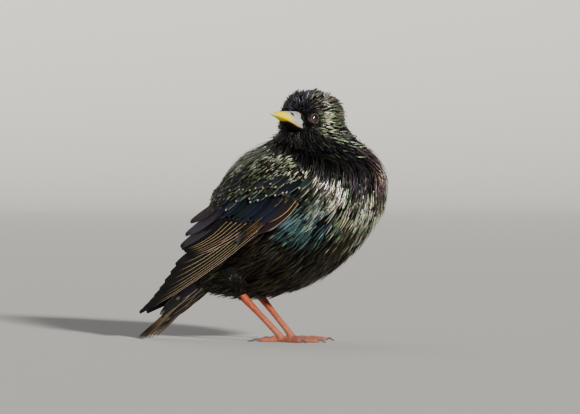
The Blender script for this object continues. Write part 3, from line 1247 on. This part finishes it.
def buildTail():
    axis, across = tailTip - tailBase, np.array((0, 1, 0))
    normal = unit(np.cross(axis, across))
    normal = normal * np.sign(normal[2])
    count = tailLook["count"]
    side = np.linspace(-1, 1, count)
    low, high = tailLook["spreads"]
    drop = np.abs(side) ** 1.3 * tailLook["drop"]
    start = tailBase + np.outer(side * low, across) - np.outer(drop * 0.35, normal)
    reach = np.minimum(1.0 - 0.015 * np.abs(side), (tailBase[2] - 0.5 - drop * normal[2]) / -axis[2])
    end = tailBase + axis * reach[:, None] + np.outer(side * high, across) - np.outer(drop, normal)
    normals = np.tile(normal, (count, 1))
    outward = np.outer(np.where(side < 0, 1.0, -1.0), across)
    look = tailLook["widths"], tailLook["thickness"]
    shape = tailSheets((start, end), normals, outward, *look, 0.3)
    under = (np.arange(len(shape[2])) > 2 * vaneGrid["half"])[:, None]
    tint = np.where(under, tailLook["bottom"], tailLook["top"])
    tint = np.broadcast_to(tint, shape[0].shape[:3] + (4,))
    edge, end = (np.tile(tailLook[key], (count, 1)) for key in ("edge", "end"))
    parts = [vanePart(*shape, tint, edge, end, 0)]
    first = count
    along = unit(axis)
    for face, number, begin, until, half, below, beside, span in tailLook["coverts"]:
        turn = np.radians(span) * (np.linspace(-1, 1, number) + rng.normal(0, 0.03, number))
        off = np.outer(np.cos(turn) * face * below, normal) + np.outer(np.sin(turn) * beside, across)
        up = unit(off)
        start = tailBase + along * begin + off * (0.86, 0.72, 0.86)
        reach = until + rng.normal(0, 0.8, (number, 1))
        end = tailBase + along * reach + off * (0.86, 1.0, 0.86)
        shape = tailSheets((start, end), up, unit(np.cross(up, along)), (half * 0.8, half), 0.3, 0.45)
        tint = varied(np.tile(tailLook["covert"], (number, 1)), 0.2)
        edge = np.tile(tailLook["rimBelow" if face < 0 else "rimAbove"], (number, 1))
        parts.append(vanePart(*shape, tint, edge, edge * (1, 1, 1, 0.3), first, face < 0))
        first += number
    addPiece("tail_feathers", parts, flightFinish, ("tail", "rump"))


# Thighs, legs, toes and claws.

thighLook = {"count": 1300, "length": 7.0, "half": 0.45}


def buildThighFeathers():
    parts = []
    for side in legs:
        line, _, _ = thighLine(side)

        def surface(u, v):  # u down the thigh, v round it
            shape = np.broadcast(u, v).shape
            u, v = (np.broadcast_to(w, shape).ravel() for w in (u, v))
            centre = spline(line, u)
            radius = spline((7.4, 5.8, 2.8), np.clip(u, 0, 2.2))
            first = unit(np.cross(line[-1] - line[0], (0, 1, 0)))
            second = unit(np.cross(line[-1] - line[0], first))
            ring = np.cos(v)[:, None] * first + np.sin(v)[:, None] * second
            return (centre + ring * radius).reshape(shape + (3,))

        count = thighLook["count"]
        u, v = rng.uniform(0.15, 1.75, count), rng.uniform(0, 2 * math.pi, count)
        run = thighLook["length"] / np.linalg.norm((line[-1] - line[0]) / 2) * rng.uniform(0.6, 1.0, count)
        lifts = np.array((-1.6, -0.6, -0.1, 0.1, 0.2)) * rng.uniform(0.6, 1.0, (count, 1))
        half = thighLook["half"] * rng.uniform(0.8, 1.2, count)
        dark = np.tile(np.array(sheens["belly"]) * 0.8, (count, 1))
        tint = varied(dark, 0.6, rng.random(count) < 0.76)
        parts.append(locks(
            surface, 1, u, v, (run * 0.9, rng.normal(0, 0.05, count)), lifts, half,
            np.radians(rng.normal(0, 20, count)), tint, np.zeros((count, 4)),
            (v / 14 + 0.5 * (side > 0), u / 3),
        ))
    addPiece("thigh_feathers", parts, plumageFinish)


legLook = {
    "orange": (0.34, 0.038, 0.002), "pink": (0.42, 0.128, 0.080), "pale": (0.48, 0.17, 0.085),
    "dark": (0.22, 0.05, 0.025), "toeRadius": 1.35, "toeSink": 0.72,
    "toes": (  # name, degrees outwards, length, claw length
        ("inner", -27, 14.5, 5.5), ("middle", -2, 20.5, 6.5),
        ("outer", 24, 15, 5.5), ("hind", 180, 11, 9.5),
    ),
    "swellAt": (0, 0.3, 0.36, 0.62, 0.68, 0.93, 1), "swell": (1.15, 0.92, 1.1, 0.88, 1.02, 0.9, 0.62),
    "clawPale": (0.20, 0.12, 0.12), "clawDark": (0.055, 0.045, 0.050),
    "clawBend": 62, "clawRoot": 0.74, "clawLoss": 0.60, "clawLow": 0.22,
}


def legFinish():
    # Scutes across the front, streaks lengthwise, orange above and pink below.
    finish = Finish("leg skin", IOR=1.45, Subsurface_Weight=0.08, Subsurface_Scale=0.001,
                    Subsurface_Radius=(1.0, 0.35, 0.2), Coat_Weight=0.15, Coat_Roughness=0.35)
    around, along = finish.pair("scute")
    low = (0.021 - finish.axis(2)).step(0.0, 0.018)
    streak = finish.streaks(around * 1.2, along * 0.06, 26.0)
    colour = finish.mix(low, legLook["orange"], legLook["pink"])
    colour = finish.mix(streak.step(0.42, 0.62) * 0.45, colour, legLook["pale"])
    saw = (along + (around * fullTurn).one("SINE") * 0.12).one("FRACT")
    seam = saw.step(0.80, 0.98)
    colour = finish.mix(seam * 0.55, colour, legLook["dark"])
    colour = finish.mix((1 - saw.step(0.0, 0.25)) * low * 0.5, colour, legLook["pale"])
    finish.wear(Base_Color=colour, Roughness=0.42 + streak * 0.2)
    finish.bumped(saw + finish.noise(2400.0, 2.0) * 0.3, 0.55, 0.00022)
    return finish


def clawFinish():
    finish = Finish("claw horn", IOR=1.5, Coat_Weight=0.5, Coat_Roughness=0.2)
    around, along = finish.pair("scute")
    grain = finish.streaks(around * 2.0, along * 0.3, 30.0)
    colour = finish.mix(along.step(0.0, 1.0), legLook["clawPale"], legLook["clawDark"])
    finish.wear(Base_Color=finish.tinted(colour, 0.6 + grain * 0.8), Roughness=0.28 + grain * 0.2)
    finish.bumped(grain, 0.3, 0.0001)
    return finish


def legPart(points, radii, rows, cols, scutes, reference, plumpness=0.0, atlas=0):
    # A tube whose radius steps in a little at each scute; the sole is cut flat on the floor.
    centre, radius, ring = tube(points, radii, rows, cols, reference)
    along = np.append(np.linspace(0, scutes, rows), scutes)
    step = (along[:-1] % 1)[:, None]
    swell = 1 + plumpness * (np.sqrt(np.clip(1 - (2 * step - 1) ** 2, 0, 1)) - 0.7)
    rings = centre[:, None] + ring * radius[:, None] * swell[:, None]
    rings[..., 2] = np.maximum(rings[..., 2], 0.0)
    tips = centre[-1] + (centre[-1] - centre[-2]) * 0.35
    tips[2] = max(tips[2], 0.0)
    across = np.arange(cols + 1) / cols
    flat = gridMap(*np.meshgrid(across, along))[None]
    column = across * 0.15 + 0.17 * atlas
    bake = gridMap(*np.meshgrid(column, along / scutes * 0.9 + 0.05))[None]
    return {"rings": rings[None], "tips": tips[None], "uvs": {"scute": flat, "OFBake": bake}}


def buildLeg(side, word, finish, horn):
    foot, heelBy, _ = (np.array(v) for v in legs[side])
    heel = foot + heelBy
    axis = unit(foot - heel)
    line = [heel - axis * 3.0, heel, heel + axis * 3, heel + axis * 14, foot - axis * 2.2]
    line.append(foot + (0.7, 0, -1.6))
    parts = [legPart(line, (1.7, 2.4, 2.15, 1.62, 1.75, 2.3), 120, 36, 12, (0, 1, 0), 0.045)]
    claws = []
    for k, (toe, spread, length, claw) in enumerate(legLook["toes"]):
        turn = math.radians(spread) * side
        ahead = np.array((math.cos(turn), math.sin(turn), 0))
        start = np.array((foot[0], foot[1], 0)) + ahead * 0.5
        t = np.linspace(0, 1, 60)
        swell = np.interp(t, legLook["swellAt"], legLook["swell"])
        swell = np.convolve(np.pad(swell, 3, "edge"), np.ones(7) / 7, "valid")
        swell *= np.where(t > 0.96, np.sqrt(np.clip(1 - ((t - 0.96) / 0.055) ** 2, 0.1, 1)), 1)
        radius = legLook["toeRadius"] * swell
        points = start + ahead * (length * t)[:, None]
        points[:, 2] = radius * legLook["toeSink"]
        points[:8, 2] += np.linspace(0.7, 0, 8)
        parts.append(legPart(points, radius, 60, 24, round(length * 0.75), (0, 0, 1), 0.05, k + 1))
        end = points[-1]
        t, whole = np.linspace(0, 1, 14), math.radians(legLook["clawBend"])
        reach, drop = claw * np.sin(whole * t) / whole, claw * (1 - np.cos(whole * t)) / whole
        rise = 0.9 * np.sin(math.pi * np.minimum(t * 1.2, 1.0))
        line = end + ahead * (reach - 0.35)[:, None]
        level = legLook["toeRadius"] * 0.62 * legLook["toeSink"] + rise - drop * 0.55
        line[:, 2] = np.maximum(level, legLook["clawLow"])
        thick = legLook["clawRoot"] - legLook["clawLoss"] * t**1.2
        claws.append(legPart(line, thick, 30, 14, 1, (0, 0, 1), atlas=k))
    addPiece(f"leg_{word}", parts, finish, (f"tarsus_{word}", f"foot_{word}"))
    names = [f"claw_{toe[0]}_{word}" for toe in legLook["toes"]]
    addPiece(f"claws_{word}", claws, horn, names)


# Making the bird.

buildSkin()
buildHeadCoat()
for coatName, coatLook in trunkCoats.items():
    trunkCoat(coatName, coatLook)
for wingSide, wingWord in ((-1, "right"), (1, "left")):
    buildWing(wingSide, wingWord)
    buildLesserCoverts(wingSide, wingWord)
buildTail()
buildThighFeathers()
buildEyes()
buildBill()
legSkin, clawHorn = legFinish(), clawFinish()
for legSide, legWord in ((-1, "right"), (1, "left")):
    buildLeg(legSide, legWord, legSkin, clawHorn)
print("bird made")


# Floor, light and camera.

stageLook = {"flat": 3.6, "rise": 0.7, "colour": (0.72, 0.71, 0.68), "cloud": (0.77, 0.76, 0.73)}


def buildFloor():
    # A round floor that turns up at its rim, so that every view has the same plain ground.
    turn = np.linspace(0, math.pi / 2, 24)
    far = np.concatenate(([0.02, 0.3, 1.2, 2.4], stageLook["flat"] + stageLook["rise"] * np.sin(turn)))
    high = np.concatenate(([0, 0, 0, 0], stageLook["rise"] * (1 - np.cos(turn)))) - 0.0001
    spin = 2 * math.pi * np.arange(96) / 96
    turns = np.cos(spin), np.sin(spin), np.ones(96)
    points = np.stack([np.outer(*each) for each in zip((far, far, high), turns)], -1)
    rows, cols = points.shape[:2]
    r, c = np.divmod(np.arange((rows - 1) * cols), cols)
    after = (c + 1) % cols
    quads = np.stack((r * cols + c, (r + 1) * cols + c, (r + 1) * cols + after, r * cols + after), 1)
    mesh = bpy.data.meshes.new("floor")
    mesh.from_pydata(points.reshape(-1, 3).tolist(), [], quads.tolist() + [list(range(cols))])
    mesh.shade_smooth()
    finish = Finish("plain floor", Specular_IOR_Level=0.1)
    cloud = finish.noise(3.0, 2.0)
    colour = finish.mix(cloud * 0.12, stageLook["colour"], stageLook["cloud"])
    finish.wear(Base_Color=colour, Roughness=0.8)
    mesh.materials.append(finish.material)
    floor = linked("floor", mesh)


viewLook = {
    "azimuth": 20.0, "elevation": 1.0, "centre": (0.0166, 0.0067, 0.0724),
    "distance": 2.5, "frameWidth": 0.3135, "sensor": 36.0,
}
lightLook = {
    "keyRight": 28.0, "keyUp": 19.0, "keyAngle": 6.0, "keyPower": 5.2, "keyColour": (1.0, 0.965, 0.91),
    "fillUp": 42.0, "fillAngle": 50.0, "fillPower": 0.5, "fillColour": (1.0, 1.0, 1.0),  # from behind
    "sky": (0.55, 0.56, 0.58), "skyPower": 0.17,
}


def addSun(name, way):  # way points from the bird to the light
    sun = bpy.data.lights.new(name, "SUN")
    sun.energy, sun.angle = lightLook[name + "Power"], math.radians(lightLook[name + "Angle"])
    sun.color = lightLook[name + "Colour"]
    linked(name, sun).rotation_euler = (-way).to_track_quat("-Z", "Y").to_euler()


def buildView():
    azimuth, elevation = math.radians(viewLook["azimuth"]), math.radians(viewLook["elevation"])
    level = Vector((math.sin(azimuth), -math.cos(azimuth), 0))
    right = Vector((math.cos(azimuth), math.sin(azimuth), 0))
    up = Vector((0, 0, 1))
    back = level * math.cos(elevation) + up * math.sin(elevation)
    camera = bpy.data.cameras.new("camera")
    camera.sensor_width = viewLook["sensor"]
    camera.lens = viewLook["sensor"] * viewLook["distance"] / viewLook["frameWidth"]
    camera.clip_start, camera.clip_end = 0.05, 30.0
    seat = linked("camera", camera)
    seat.location = Vector(viewLook["centre"]) + back * viewLook["distance"]
    seat.rotation_euler = (-back).to_track_quat("-Z", "Y").to_euler()
    bpy.context.scene.camera = seat
    aside, high = math.radians(lightLook["keyRight"]), math.radians(lightLook["keyUp"])
    way = (level * math.cos(aside) + right * math.sin(aside)) * math.cos(high) + up * math.sin(high)
    addSun("key", way)
    high = math.radians(lightLook["fillUp"])
    way = up * math.sin(high) - (level + right * 0.3).normalized() * math.cos(high)
    addSun("fill", way)
    world = bpy.data.worlds.new("studio")
    world.use_nodes = True
    world.node_tree.nodes["Background"].inputs[0].default_value = (*lightLook["sky"], 1)
    world.node_tree.nodes["Background"].inputs[1].default_value = lightLook["skyPower"]
    bpy.context.scene.world = world


buildFloor()
buildView()
print("boxes written")
